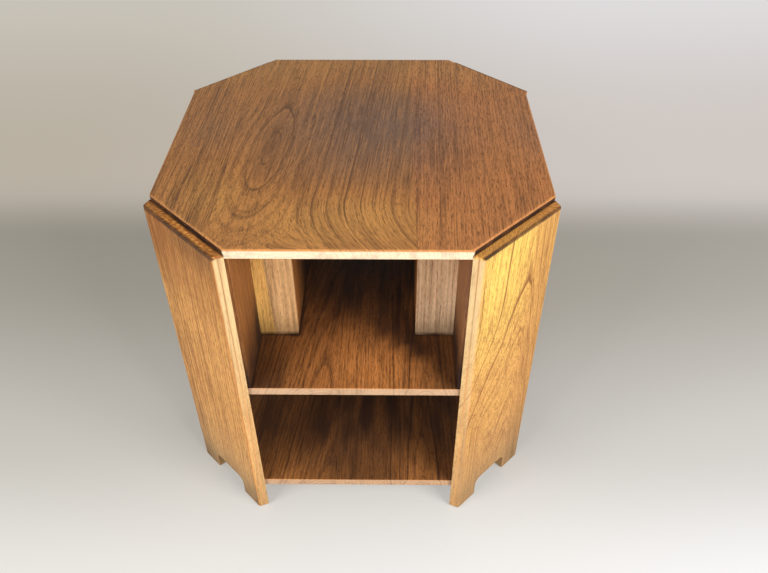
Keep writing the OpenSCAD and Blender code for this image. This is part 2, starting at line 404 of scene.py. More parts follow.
def oak(name, body, line, edge_colour, golden, veil, ring, figure=1.0, pores=1.0, bend=12 * MM, rings=()):
    """Stained oak. The points' grain attribute is their place in the tree: across, outwards, along.

    Their tone leads to the golden colour above zero and to the veil below it, and their edge to the edge
    colour above zero and to stained end grain below it.
    """
    colours = bpy.context.scene.book_table.colours
    f = Finish(name)
    place = f.node("ShaderNodeAttribute", {"attribute_name": "grain"}, out=1)
    surface = f.node("ShaderNodeAttribute", {"attribute_name": "finish"}, out=1)
    surface = f.node("ShaderNodeSeparateXYZ", {}, {0: surface})
    edge, rubbed, stain_and_shade = surface.out("X"), surface.out("Y"), surface.out("Z")
    tone = f.node("ShaderNodeAttribute", {"attribute_name": "tone"}, out=2)

    slow = f.shifted(f.noise(place, (7, 7, 2.4), 2.0).out("Color"))
    quick = f.shifted(f.noise(place, (70, 70, 16), 1.0).out("Color"))
    stray = f.sum(f.scaled(slow, (bend, bend, 0)), f.scaled(quick, (0.15 * bend, 0.15 * bend, 0)))
    bent = f.sum(place, stray)
    radius = f.node("ShaderNodeVectorMath", {"operation": "LENGTH"}, {0: f.scaled(bent, (1, 1, 0))})
    spacing = {"W": radius / (2.7 * ring), "Scale": 1.0}
    uneven = f.node("ShaderNodeTexNoise", {"noise_dimensions": "1D"}, spacing)
    years = radius / ring + uneven * 1.5
    phase = years.math("FRACT")
    vigour = f.node("ShaderNodeTexWhiteNoise", {"noise_dimensions": "1D"}, {"W": years.math("FLOOR")})
    early = (1 - phase.rise(0.03, 0.40)).most(phase.rise(0.92, 1.0))
    ring_line = early * (0.12 + 0.88 * vigour**2)
    cloud = f.noise(place, (10, 10, 4), 3.0, 0.55)
    if rings:
        ring_line = ring_line * 0.3
        wane = 0.65 + 0.35 * f.noise(place, (16, 16, 7), 2.0).rise(0.4, 0.6)
    for middle, width, strength in rings:
        off = radius - middle
        ring_line = ring_line.most((1 - (off / width).most(off / (-0.4 * width))) * wane * strength)

    fibre = f.noise(place, (300, 300, 4), 3.0, 0.6)
    streak = f.noise(place, (520, 520, 22), 2.0, 0.6)
    vessels = f.noise(place, (850, 850, 110), 2.0, 0.6).rise(0.48, 0.64)
    pinholes = f.noise(place, (2200, 2200, 160), 1.0).rise(0.50, 0.66)
    open_grain = (vessels * 0.8 + pinholes * 0.35) * (0.6 + 0.4 * early)

    mottle = 0.5 + cloud
    wood = f.mix(tone * mottle, body, golden)
    wood = f.mix(0 - tone * mottle, wood, veil)
    band = f.noise(place, (120, 120, 5), 2.0)
    fine_lines = 0.34 * streak.rise(0.48, 0.68) + 0.3 * band.rise(0.45, 0.7)
    dark = 0.28 * fibre.rise(0.38, 0.66) + pores * fine_lines
    wood = f.mix(0.06 + dark - 0.2 * cloud.rise(0.4, 0.65), wood, line)
    wood = f.mix((1 - streak.rise(0.32, 0.47)) * (0.5 * pores), wood, colours.rubbed)
    wood = f.mix(ring_line * (0.75 * figure), wood, line)
    wood = f.mix(open_grain * (0.8 * pores), wood, line)
    uneven_edge = 0.2 * f.noise(place, (60, 60, 14), 2.0).rise(0.45, 0.7)
    pale = f.mix(open_grain * 0.28 + ring_line * 0.25 + fibre * 0.1 + uneven_edge, edge_colour, line)
    wood = f.mix(edge * (0.85 + 0.3 * cloud), wood, pale)
    slant = f.node("ShaderNodeMapping", {}, {"Vector": place, "Rotation": (0, 0, 0.9)})
    rays = f.noise(slant, (900, 160, 60), 2.0).rise(0.46, 0.62)
    wood = f.mix(0 - edge, wood, f.mix(rays, colours.panel_end, colours.end_streak))
    wood = f.mix(rubbed * (0.2 + 0.8 * cloud.rise(0.35, 0.6)), wood, colours.rubbed)
    blotch = f.noise(place, (45, 45, 9), 2.0).rise(0.3, 0.7)
    # The stain share is real stain in places, and painted shade in the bays and corners
    wood = f.mix(stain_and_shade * (0.88 + 0.24 * blotch), wood, colours.stain_and_shade)
    height = 1 - open_grain * 0.8 - ring_line * 0.25 + fibre * 0.3
    return f.done(
        Base_Color=wood,
        Roughness=0.46 + 0.16 * open_grain + 0.14 * cloud - 0.06 * rubbed + 0.1 * stain_and_shade,
        Normal=f.bump(height, 0.4 * MM, 0.5),
        Specular_IOR_Level=0.25,
    )


def beech():
    """Bare beech with its short flecks, for the dowels."""
    colours = bpy.context.scene.book_table.colours
    f = Finish("bare_beech")
    place = f.node("ShaderNodeTexCoord", {}, out=3)
    fleck = f.noise(place, (900, 900, 900), 2.0).rise(0.58, 0.7)
    streak = f.noise(place, (160, 160, 160), 3.0)
    wood = f.mix(streak, colours.dowel, shade(190, 148, 104))
    wood = f.mix(fleck * 0.4, wood, shade(150, 104, 66))
    relief = f.bump(streak - fleck * 0.5, 0.2 * MM, 0.4)
    return f.done(Base_Color=wood, Roughness=0.62 + 0.15 * streak, Normal=relief)


def pine():
    """Bare sawn pine with saw marks, for the blocks under the top and the bottom shelf."""
    colours = bpy.context.scene.book_table.colours
    f = Finish("bare_pine")
    place = f.node("ShaderNodeTexCoord", {}, out=3)
    bands = f.noise(place, (30, 30, 420), 2.0).rise(0.4, 0.65)
    fibre = f.noise(place, (90, 90, 1200), 2.0)
    strokes = {"Vector": place, "Scale": 160.0, "Distortion": 1.5}
    saw = f.node("ShaderNodeTexWave", {"bands_direction": "DIAGONAL"}, strokes)
    wood = f.mix(bands * 0.6, colours.pine, shade(178, 122, 66))
    wood = f.mix(fibre * 0.35, wood, shade(226, 196, 148))
    relief = f.bump(fibre * 0.6 + saw * 0.4, 0.3 * MM, 0.5)
    return f.done(Base_Color=wood, Roughness=0.7 + 0.15 * fibre, Normal=relief)


def steel():
    """Dull steel with a brown bloom in places, for the screws."""
    colours = bpy.context.scene.book_table.colours
    f = Finish("dull_steel")
    place = f.node("ShaderNodeTexCoord", {}, out=3)
    bloom = f.noise(place, (400, 400, 400), 3.0).rise(0.5, 0.68)
    fine = f.noise(place, (3000, 3000, 600), 2.0)
    metal = f.mix(bloom * 0.6, colours.steel, shade(96, 70, 50))
    return f.done(
        Base_Color=metal, Metallic=1 - bloom * 0.7, Roughness=0.38 + 0.3 * bloom + 0.1 * fine,
        Normal=f.bump(fine, 0.05 * MM, 0.3),
    )


def floor_paint():
    """Pale floor with a painted shade band behind the table, painted lighter on the right and darker on the
    left. It takes the table's shadow, and the camera sees mostly these painted tones.
    """
    stage = bpy.context.scene.book_table.stage
    f = Finish("pale_floor")
    place = f.node("ShaderNodeSeparateXYZ", {}, {0: f.node("ShaderNodeTexCoord", {}, out=3)})
    back, side = place.out("Y"), place.out("X")
    shaded = 0.6 * back.rise(-0.40, -0.14) + 0.4 * back.rise(-0.25, 0.30)
    shown = f.mix(shaded, stage.floor_front, stage.floor_shade)
    shown = f.mix(back.rise(0.42, 0.62), shown, stage.floor_back)
    shown = f.mix(back.rise(0.8, 2.0), shown, stage.background)
    sides = f.mix(side.rise(-0.9, 0.9), stage.floor_left, FLOOR_RIGHT)
    shown = f.mix(1.0, shown, sides, "MULTIPLY")
    lit = f.node("ShaderNodeBsdfDiffuse", {}, {"Color": FLOOR_PAINT})
    even = f.node("ShaderNodeEmission", {}, {"Color": shown, "Strength": 1.0})
    share = stage.floor_evenness + (1 - stage.floor_evenness) * back.rise(0.42, 0.72)
    surface = f.node("ShaderNodeMixShader", {}, {0: f.seen() * share, 1: lit, 2: even})
    f.node("ShaderNodeOutputMaterial", {}, {"Surface": surface})
    return f.made


def closed_solid(rings):
    """A closed body between outlines of equal length."""
    work = bmesh.new()
    loops = [[work.verts.new(p) for p in ring] for ring in rings]
    work.faces.new(reversed(loops[0]))
    work.faces.new(loops[-1])
    for low, high in zip(loops, loops[1:]):
        for i, corner in enumerate(low):
            j = (i + 1) % len(low)
            work.faces.new((corner, low[j], high[j], high[i]))
    bmesh.ops.recalc_face_normals(work, faces=work.faces)
    return work


def as_object(name, work):
    """A finished body as an object of the scene."""
    mesh = bpy.data.meshes.new(name)
    work.to_mesh(mesh)
    work.free()
    piece = bpy.data.objects.new(name, mesh)
    bpy.context.scene.collection.objects.link(piece)
    return piece


def settle(piece):
    """Turns what the piece's modifiers make into its own plain mesh."""
    depsgraph = bpy.context.evaluated_depsgraph_get()
    made = bpy.data.meshes.new_from_object(piece.evaluated_get(depsgraph), depsgraph=depsgraph)
    old = piece.data
    piece.modifiers.clear()
    piece.data = made
    bpy.data.meshes.remove(old)
    made.name = piece.name


def rub_arrises(name, work, arris_of):
    """Rounds each edge of a body by the size that arris_of gives for its two ends."""
    weight = work.edges.layers.float.new("bevel_weight_edge")
    sizes = {edge: arris_of(*(v.co for v in edge.verts)) for edge in work.edges}
    largest = max(sizes.values())
    for edge, size in sizes.items():
        edge[weight] = size / largest
    piece = as_object(name, work)
    bevel = piece.modifiers.new("arris", "BEVEL")
    bevel.limit_method = "WEIGHT"
    bevel.width = largest
    bevel.segments = ARRIS_STEPS
    settle(piece)
    return piece


def every(spacing):
    """Evenly spaced places for lines, over more than the table's size."""
    count = int(LINE_REACH / spacing)
    return [i * spacing for i in range(-count, count + 1)]


def draw_lines(piece, lines):
    """Cuts the piece's faces along planes, so that its points can carry the figure of the wood."""
    work = bmesh.new()
    work.from_mesh(piece.data)
    for normal, places in lines:
        heights = [v.co.dot(normal) for v in work.verts]
        for place in places:
            if min(heights) < place < max(heights):
                parts = [*work.verts, *work.edges, *work.faces]
                bmesh.ops.bisect_plane(work, geom=parts, plane_co=normal * place, plane_no=normal, dist=SNAP)
    work.to_mesh(piece.data)
    work.free()


def facing(mesh):
    """For each point of a mesh, the way that most of the area round it faces."""
    count = len(mesh.polygons)
    areas, normals = np.zeros(count), np.zeros(3 * count)
    totals = np.zeros(count, int)
    mesh.polygons.foreach_get("area", areas)
    mesh.polygons.foreach_get("normal", normals)
    mesh.polygons.foreach_get("loop_total", totals)
    corners = np.zeros(len(mesh.loops), int)
    mesh.loops.foreach_get("vertex_index", corners)
    pull = np.repeat(normals.reshape(-1, 3) * areas[:, None], totals, axis=0)
    sums = np.zeros((len(mesh.vertices), 3))
    np.add.at(sums, corners, pull)
    return sums / np.maximum(np.linalg.norm(sums, axis=1, keepdims=True), np.finfo(float).tiny)


def smooth_step(values, low, high):
    """0 up to low, 1 from high and a smooth slope between them."""
    share = np.clip((values - low) / (high - low), 0, 1)
    return share * share * (3 - 2 * share)


def fall(values, low, high):
    """1 up to low, 0 from high and a smooth slope between them."""
    return 1 - smooth_step(values, low, high)


def hump(values, middle, width):
    """1 in the middle, with a soft slope to both sides."""
    return np.exp(-(((values - middle) / width) ** 2))


def finish_board(piece, node, material, face, grain, wear_and_shading):
    """Gives a board its place in the tree, its wear with painted light and shade, its material and its place
    in the frame.
    """
    mesh = piece.data
    points = np.array([v.co for v in mesh.vertices])
    flat = np.abs(facing(mesh) @ np.array(face))
    edge = fall(flat, 0.4, 0.85)
    rubbed = smooth_step(flat, 0.45, 0.7) * fall(flat, 0.85, 0.99)
    edge, rubbed, stain_and_shade, tone = wear_and_shading(points, flat, edge, rubbed)
    finish = np.stack([edge, rubbed, stain_and_shade], axis=1)
    mesh.attributes.new("tone", "FLOAT", "POINT").data.foreach_set("value", tone.astype(np.float32))
    for name, values in (("grain", grain(points)), ("finish", finish)):
        layer = mesh.attributes.new(name, "FLOAT_VECTOR", "POINT")
        layer.data.foreach_set("vector", values.astype(np.float32).ravel())
    mesh.polygons.foreach_set("use_smooth", [True] * len(mesh.polygons))
    mesh.set_sharp_from_angle(angle=SHARP_ANGLE)
    weighted = piece.modifiers.new("flat faces", "WEIGHTED_NORMAL")
    weighted.keep_sharp = True
    settle(piece)
    piece.data.materials.clear()
    piece.data.materials.append(material)
    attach(piece, "root")
    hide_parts(node)


def sawn(across, along, outwards, pith, depth, tilt=0.0, lean=0.0, log=0):
    """The grain of a board sawn from a straight tree.

    The pith lies at a distance across the board from the middle of the table, and at a depth behind it.
    Tilt is how fast the pith draws nearer along the board, and lean how fast it moves across.
    """
    across, along, outwards = (np.array(v) for v in (across, along, outwards))
    new_log = NEXT_LOG * log

    def grain(points):
        height = points @ along
        return np.stack([
            points @ across - pith - lean * height,
            points @ outwards + depth + tilt * height,
            height + new_log,
        ], axis=1)

    return grain


def cathedral(points):
    """The figure of the top's centre board: nested ovals, with straight lines behind and a flare in front."""
    x, y, z = points.T
    oval_x, oval_y = -113.5 * MM, -27 * MM
    lean, swell, depth = 0.088, 0.62, 40 * MM
    along = y - oval_y
    across = x - oval_x - lean * along
    front = np.clip((-y - 150 * MM) / (100 * MM), 0, 1) ** 2
    flare = 42 * MM * front * smooth_step(across, 30 * MM, 90 * MM)
    across = across - flare
    near = 1 / (1 + (across / (55 * MM)) ** 4)
    beyond = np.maximum(along - 90 * MM, 0)
    bow = along - beyond**2 / (beyond + 25 * MM)
    return np.stack([across, depth + z - TOP[1].z + swell * near * bow**2, y], axis=1)


def flame(points):
    """The figure of the front right panel: pointed arches, one inside the other."""
    out, along = (np.array(axis) for axis in corner_axes("front_right"))
    middle, peak, peak_depth, log = 27 * MM, 0.413, 98.5 * MM, 10
    off, height = points @ along - middle, points[:, 2]
    across = np.where(off > 0, 2.1 * off, -off)
    upright = smooth_step(-off, 30 * MM, 55 * MM) * smooth_step(height, 0.30, 0.42)
    rise = np.where(height > peak, 0.06, 0.22) * (height - peak)
    depth = peak_depth + rise * (1 - 0.85 * upright) + PANEL_INNER + PANEL_T - points @ out
    radius = (across**1.5 + depth**1.5) ** (2 / 3) + 6 * MM * smooth_step(off, 0, 20 * MM)
    radius = radius * (1 - 1.5 * np.maximum(0.33 - height, 0) * smooth_step(-off, 25 * MM, 70 * MM))
    return np.stack([off, np.sqrt(np.maximum(radius**2 - off**2, 0)), height + NEXT_LOG * log], axis=1)


def octagon_slice(low, high, half):
    """The outline of an octagonal board between two glue joints."""
    straight = CUT - half
    turns = sorted({low, high, *(x for x in (-straight, straight) if low < x < high)})
    front = [(x, -min(half, CUT - abs(x))) for x in turns]
    return front + [(x, -y) for x, y in reversed(front)]


def flat_board(node, half, arris, under_arris):
    """One board of the top or of a shelf, with rubbed arrises and tight glue joints."""
    sizes = bpy.context.scene.book_table.boards
    low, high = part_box(node)
    outline = octagon_slice(low.x, high.x, half)
    work = closed_solid([[(x, y, z) for x, y in outline] for z in (low.z, high.z)])

    def arris_of(a, b):
        on_joint = abs(a.x - b.x) < SNAP and abs(a.x) < half - HAIR
        on_underside = max(a.z, b.z) < (low.z + high.z) / 2
        return sizes.joint_arris if on_joint else under_arris if on_underside else arris

    return rub_arrises(node + "_oak", work, arris_of)


def panel_outline(half, sizes):
    """Points round a corner panel's face, as distances along and up, with the cut-out between its feet."""
    gap, rise, radius = sizes.foot_gap_width / 2, sizes.foot_gap_height, sizes.foot_gap_radius
    steps = 8
    arc = [math.pi / 2 * i / steps for i in range(steps + 1)]
    left = [(-gap + radius * (1 - math.cos(a)), rise - radius * (1 - math.sin(a))) for a in arc]
    right = [(-u, v) for u, v in reversed(left)]
    return [(half, 0), (half, PANEL_TOP), (-half, PANEL_TOP), (-half, 0), (-gap, 0), *left, *right, (gap, 0)]


def corner_panel(node, corner):
    """A corner panel with mitred upright edges and two bracket feet."""
    sizes = bpy.context.scene.book_table.boards
    out, along = corner_axes(corner)
    outer_half = PANEL_HALF - PANEL_T * math.tan(sizes.mitre)
    rings = []
    for half, depth in ((PANEL_HALF, 0), (outer_half, PANEL_T)):
        face = out * (PANEL_INNER + depth)
        rings.append([face + along * u + UP * v for u, v in panel_outline(half, sizes)])
    work = closed_solid(rings)

    def arris_of(a, b):
        outer = min(a.dot(out), b.dot(out)) > PANEL_INNER + PANEL_T / 2
        if max(a.z, b.z) < HAIR:
            return sizes.sole_arris
        if max(a.z, b.z) < sizes.foot_gap_height + HAIR:
            return sizes.foot_arris
        return sizes.panel_arris if outer else sizes.inner_arris

    return rub_arrises(node + "_oak", work, arris_of)


def divider(node):
    """An upright board between the middle shelf and the top, cut back where it meets a corner panel."""
    sizes = bpy.context.scene.book_table.boards
    low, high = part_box(node)
    corners = [(low.x, low.y), (high.x, low.y), (high.x, high.y), (low.x, high.y)]
    outline = []
    for x, y in corners:
        over = abs(x) + abs(y) - CUT
        if over > HAIR:
            cut_x, cut_y = (x - math.copysign(over, x), y), (x, y - math.copysign(over, y))
            outline += [cut_y, cut_x] if x * y > 0 else [cut_x, cut_y]
        else:
            outline.append((x, y))
    work = closed_solid([[(x, y, z) for x, y in outline] for z in BAY_Z])

    def arris_of(a, b):
        return sizes.inner_arris if abs(a.z - b.z) > HAIR else 0.0

    return rub_arrises(node + "_oak", work, arris_of)


def top_wear_and_sheen(points, flat, edge, rubbed):
    """Dark risers over the corner panels, a grey veil over the middle of the top, paler patches in front, and
    a painted sheen towards the back of the top.
    """
    x, y, _ = points.T
    edge = fall(flat, 0.12, 0.45)
    rubbed = 0.5 * smooth_step(flat, 0.15, 0.45) * fall(flat, 0.9, 0.995)
    outwards = np.abs(x) + np.abs(y)
    on_straight = np.abs(y) > HALF_TOP - 1.5 * MM
    riser = smooth_step(outwards, CUT - 0.6 * MM, CUT - 0.2 * MM) * edge * ~on_straight
    bare = np.where(on_straight, 1.0, fall(outwards, CUT - 4 * MM, CUT - 2 * MM))

    def patch(at_x, at_y, half_x, half_y):
        return hump(x, at_x * MM, half_x * MM) * hump(y, at_y * MM, half_y * MM)

    veil = 0.63 * patch(5, 30, 110, 150) + 0.22 * patch(-203, 15, 40, 55)
    veil = veil + 0.22 * patch(98, 15, 48, 75) + 0.22 * patch(240, 15, 32, 75)
    # Towards the back the top is painted paler and greyer, a painted sheen
    back = smooth_step(y, 0.10, 0.24)
    clear = 0.7 * patch(-15, -195, 90, 58) + 0.4 * back + 0.6 * patch(-182, -145, 42, 60)
    painted_sheen = 0.03 * smooth_step(y, -0.14, 0.10) + 0.02 * back
    return edge * bare + painted_sheen * (flat > 0.9), rubbed, 0.96 * riser, clear - veil


def foot_dirt_and_shade(z):
    """Dirt along the foot of an upright board, and painted shade where it meets the shelf."""
    return 0.9 * fall(z - BAY_Z[0], 0.0, 12 * MM)


def cheek_shade_and_dirt(points, flat, edge, rubbed):
    """Painted shade low down, strongest at the foot and further into the bay, with dirt at the foot; the
    upper right cheek goes greyer.
    """
    x, y, z = points.T
    up = z - BAY_Z[0]
    low = fall(up, 0.0, 140 * MM)
    inwards = fall(np.abs(y), 0.14, 0.21)
    deep_shade = np.where(x > 0, 0.06 + 0.38 * low, 0.1 + 0.22 * low + 0.2 * inwards)
    deep_shade = deep_shade + 0.62 * fall(up, 0.0, 125 * MM)
    return 0 * edge, 0 * rubbed, np.maximum(foot_dirt_and_shade(z), deep_shade), -0.3 * (1 - low) * (x > 0)


def cross_wear_and_shade(points, flat, edge, rubbed):
    """A streak of sapwood at the outer edge on the left, a grey veil on the right, dirt and painted shade
    along the foot, painted shade in the low outer corner, and darker towards the bottom.
    """
    x, _, z = points.T
    up = z - BAY_Z[0]
    outer = -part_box("cheek_front_left")[1].x
    inwards = x + outer + 0.03 * (z - BAY_Z[1])
    sapwood = fall(inwards, 13 * MM, 16 * MM)
    border = 0.5 * hump(inwards, 16 * MM, 1.5 * MM)
    fine = 0.35 * hump(inwards, 26 * MM, 1.6 * MM) * smooth_step(up, 0.09, 0.15)
    # Painted shade in the low corner beside the cheek
    low = 0.55 * fall(up, 0.0, 50 * MM) * fall(outer - np.abs(x), 0.0, 30 * MM)
    # Darker towards the bottom
    dust = 0.22 * fall(up, 5 * MM, 45 * MM)
    stain_and_shade = np.maximum.reduce([foot_dirt_and_shade(z), low, dust, np.maximum(border, fine) * (x < 0)])
    return 0 * edge, 0.3 * rubbed, stain_and_shade, np.where(x < 0, 0.85 * sapwood, -0.5)


def wall_shade_and_dirt(points, flat, edge, rubbed):
    """Painted shade inside the channel, deeper further in, with dirt and painted shade along the foot."""
    shade_inside = fall(np.abs(points[:, 1]), 0.02, 0.14)
    return 0 * edge, 0 * rubbed, np.maximum(foot_dirt_and_shade(points[:, 2]), 0.03 + 0.9 * shade_inside), 0 * flat


def middle_shelf_wear_and_shade(points, flat, edge, rubbed):
    """Dirt and painted shade along the feet of the uprights, and painted shade deep in the bay, towards its
    sides, on the left and as a cast shadow on the right.
    """
    x, y, _ = points.T
    away = np.full(len(points), 1.0)
    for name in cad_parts:
        if name.startswith(("cheek_", "cross_divider_", "inner_wall_")):
            low, high = (np.array(corner)[:2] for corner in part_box(name))
            outside = np.maximum(np.maximum(low - points[:, :2], points[:, :2] - high), 0)
            away = np.minimum(away, np.linalg.norm(outside, axis=1))
    feet = 0.95 * fall(away, 0.5 * MM, 12 * MM)
    shade_inside = 0.9 * fall(np.hypot((x - 45 * MM) * 0.7, y), 0.06, 0.21)
    sides = 0.78 * smooth_step(np.abs(x - 5 * MM), 0.04, 0.13)
    left = (0.34 + 0.24 * smooth_step(y, -0.20, -0.09)) * smooth_step(-x, -0.01, 0.04)
    # A painted cast shadow, its edge slanting forwards across the right side
    forward = np.maximum(-y - 0.09, 0)
    cast_shadow = x + 5 * MM - 0.3 * forward - 6 * forward**2
    cast_shadow = 0.85 * smooth_step(cast_shadow, -0.02, 0.02)
    stain_and_shade = np.maximum.reduce([feet, shade_inside, sides, left, cast_shadow])
    return edge, rubbed, stain_and_shade * smooth_step(flat, 0.5, 0.9), 0 * flat


def bottom_shelf_wear_and_shade(points, flat, edge, rubbed):
    """Painted shade: the shelf darker all over and darker still further in, with paler streaks and a darker
    band in the middle.
    """
    x, y, _ = points.T
    shade_inside = fall(np.maximum(np.abs(x), np.abs(y)), 0.14, 0.25)
    streaks = 0.24 * hump(x, -110 * MM, 32 * MM) + 0.18 * hump(x, 88 * MM, 24 * MM)
    middle = 0.15 * hump(x, -12 * MM, 48 * MM)
    stain_and_shade = 0.58 + 0.3 * shade_inside + middle * (1 - shade_inside) - streaks * (1 - 0.7 * shade_inside)
    return 0.85 * edge, rubbed, stain_and_shade * smooth_step(flat, 0.5, 0.9), 0 * flat


def panel_wear_and_shade(corner):
    """Stain in a panel's end grain at the upper end, a line along its mitre, painted shade low down and in
    patches on its face, and paler, greyer feet from dust and painted light bounced up from the floor.
    """
    out, along = (np.array(axis) for axis in corner_axes(corner))
    bright = corner == "front_right"
    worn = BRIGHT_PANEL if bright else DULL_PANEL

    def wear_and_shading(points, flat, edge, rubbed):
        across, depth, height = points @ along, points @ out - PANEL_INNER, points[:, 2]
        on_face = flat > 0.9
        upper = smooth_step(height, PANEL_TOP - 4 * MM, PANEL_TOP - 2.5 * MM)
        high = smooth_step(height, 0.16, 0.44)
        low = fall(height, 0.0, 90 * MM)
        foot = fall(height, 0.03, 0.20)

        corner_line = upper * fall(depth, 0.35 * worn.inner_line, worn.inner_line)
        arris = upper if bright else smooth_step(height, PANEL_TOP - 6 * MM, PANEL_TOP - 4 * MM)
        arris = arris * smooth_step(depth, worn.outer_line, 12 * MM)
        on_mitre = np.abs(across) > 50 * MM
        from_line = np.abs(depth - MITRE_LINE)
        joint = worn.joint * fall(from_line, 0.2 * MM, 1.0 * MM) * on_mitre * high * (1 - upper)
        beside_joint = worn.beside_joint * fall(from_line, 0.8 * MM, 2.2 * MM) * on_mitre * (1 - upper)
        inside_gap = (height < 45 * MM) * (np.abs(across) < 45 * MM)
        bare = (0.4 + 0.6 * high) * (1 - upper) - worn.end_grain * upper
        bare = np.where(inside_gap, 0.45, bare)

        marks = [0.85 * arris, 0.9 * corner_line, joint, 0.15 * low, 0.25 * inside_gap]
        # The shaded share is painted shade on the face
        shaded = 0.14 * foot + 0.22 * low
        tone = -0.3 * foot
        if bright:
            far = smooth_step(across, 0, 50 * MM)
            tone = (0.12 + 0.75 * smooth_step(height, 0.24, 0.42)) * (1 - 0.75 * far) - 0.2 * foot
            shaded = shaded + 0.07 * fall(height, 0.20, 0.30)
            shaded = shaded + 0.12 * smooth_step(across, 30 * MM, 60 * MM)
        if corner == "front_left":
            far = fall(across, -50 * MM, 20 * MM)
            tone = -(0.6 + 0.35 * far) * smooth_step(height, 0.34, 0.48) - 0.1 * foot
            shaded = shaded + 0.38 * smooth_step(height, 0.445, 0.49) * (1 - far)
            shaded = shaded + 0.1 * smooth_step(-across, 25 * MM, 60 * MM) + 0.28 * low
            marks.append(0.4 * upper * smooth_step(-across, 10 * MM, 60 * MM))
            marks.append(0.3 * upper * smooth_step(across, 40 * MM, 65 * MM))
        stain_and_shade = np.maximum.reduce([*marks, shaded * on_face])
        pale = worn.pale * rubbed * (1 - upper)
        # Dust, and painted light bounced up from the floor
        dust_and_floor_bounce = (0.22 * foot + worn.dust * low) * on_face
        rubbed = rubbed * (0.35 - 0.1 * high) + beside_joint + 0.3 * upper
        return edge * bare + dust_and_floor_bounce + pale, rubbed, stain_and_shade, tone

    return wear_and_shading


class StageOperator(bpy.types.Operator):
    """Set up the floor, the lights and the camera"""

    bl_idname = "book_table.stage"
    bl_label = "Stage"

    def execute(self, context):
        stage = context.scene.book_table.stage
        floor = bmesh.new()
        bmesh.ops.create_circle(floor, cap_ends=True, segments=FLOOR_SIDES, radius=FLOOR_RADIUS)
        floor = as_object("floor", floor)
        floor.data.transform(Matrix.Translation((0, 0, -FLOOR_DROP)))
        floor.data.materials.append(floor_paint())
        self.lamp("right_light", 1, stage.key_power, (1.0, 0.97, 0.92))
        self.lamp("left_light", -1, stage.fill_power, (1.0, 0.98, 0.95))
        self.room(context, stage)
        self.camera(context, stage)
        context.scene.view_settings.view_transform = "Standard"
        return {"FINISHED"}

    def lamp(self, name, side, power, colour):
        """A square soft light in front of the table, on its right (1) or on its left (-1)."""
        place = Vector(LAMP_PLACE)
        place.x *= side
        data = bpy.data.lights.new(name, "AREA")
        data.shape = "SQUARE"
        data.size = LAMP_SIZE
        data.energy = power
        data.color = colour
        lamp = bpy.data.objects.new(name, data)
        lamp.location = place
        lamp.rotation_euler = (LAMP_TARGET - place).to_track_quat("-Z", "Y").to_euler()
        bpy.context.scene.collection.objects.link(lamp)

    def room(self, context, stage):
        """Soft light from all round. Rays that show the room itself see the plain background."""
        f = Finish("room", "worlds")
        glow = {"Color": ROOM_LIGHT, "Strength": stage.world_level}
        light = f.node("ShaderNodeBackground", {}, glow)
        shown = f.node("ShaderNodeBackground", {}, {"Color": stage.background})
        choice = f.node("ShaderNodeMixShader", {}, {0: f.seen(), 1: light, 2: shown})
        f.node("ShaderNodeOutputWorld", {}, {"Surface": choice})
        context.scene.world = f.made

    def camera(self, context, stage):
        """The camera, at the place and with the turn that the settings give."""
        data = bpy.data.cameras.new("camera")
        data.sensor_width = SENSOR_WIDTH
        data.lens = stage.lens
        data.clip_start = 10 * MM
        pitch, yaw, roll = stage.camera_pitch, stage.camera_yaw, stage.camera_roll
        ahead = Vector((math.sin(yaw) * math.cos(pitch), math.cos(yaw) * math.cos(pitch), -math.sin(pitch)))
        right = Vector((math.cos(yaw), -math.sin(yaw), 0))
        above = right.cross(ahead)
        across = right * math.cos(roll) + above * math.sin(roll)
        upright = above * math.cos(roll) - right * math.sin(roll)
        camera = bpy.data.objects.new("camera", data)
        turn = Matrix((across, upright, -ahead)).transposed().to_4x4()
        camera.matrix_world = Matrix.Translation(stage.camera_place) @ turn
        context.scene.collection.objects.link(camera)
        context.scene.camera = camera


class TopOperator(bpy.types.Operator):
    """Make the three boards of the top"""

    bl_idname = "book_table.top"
    bl_label = "Table top"

    def execute(self, context):
        sizes, colours = context.scene.book_table.boards, context.scene.book_table.colours
        tones = colours.top_body, colours.top_line, colours.top_edge, colours.top_pale_and_sheen, colours.veil
        plain = oak("stained_oak_top", *tones, ring=4 * MM, figure=0.75, pores=1.05)
        red = colours.top_red, *tones[1:]
        streaked = oak(
            "stained_oak_top_right", *red, ring=4 * MM, figure=1.15, pores=1.1, bend=6 * MM,
            rings=RIGHT_RINGS,
        )
        figured = oak(
            "stained_oak_top_centre", *tones, ring=6.5 * MM, figure=1.3, pores=0.9, bend=2 * MM,
            rings=TOP_RINGS,
        )
        axes = RIGHT, BACK, UP
        figures = {
            "left": (plain, sawn(*axes, pith=-0.46, depth=0.02 - TOP[1].z, lean=0.02, log=1)),
            "centre": (figured, cathedral),
            "right": (streaked, sawn(*axes, pith=-0.16, depth=0.05 - TOP[1].z, lean=0.04, log=2)),
        }
        ends = [sign * (CUT - HALF_TOP + away * MM) for sign in (-1, 1) for away in (1, 3)]
        rows = every(12 * MM) + ends
        for board in BOARDS:
            node = "top_board_" + board
            piece = flat_board(node, HALF_TOP, sizes.top_arris, sizes.under_arris)
            draw_lines(piece, [(RIGHT, rows), (BACK, rows)])
            material, grain = figures[board]
            finish_board(piece, node, material, UP, grain, top_wear_and_sheen)
        return {"FINISHED"}


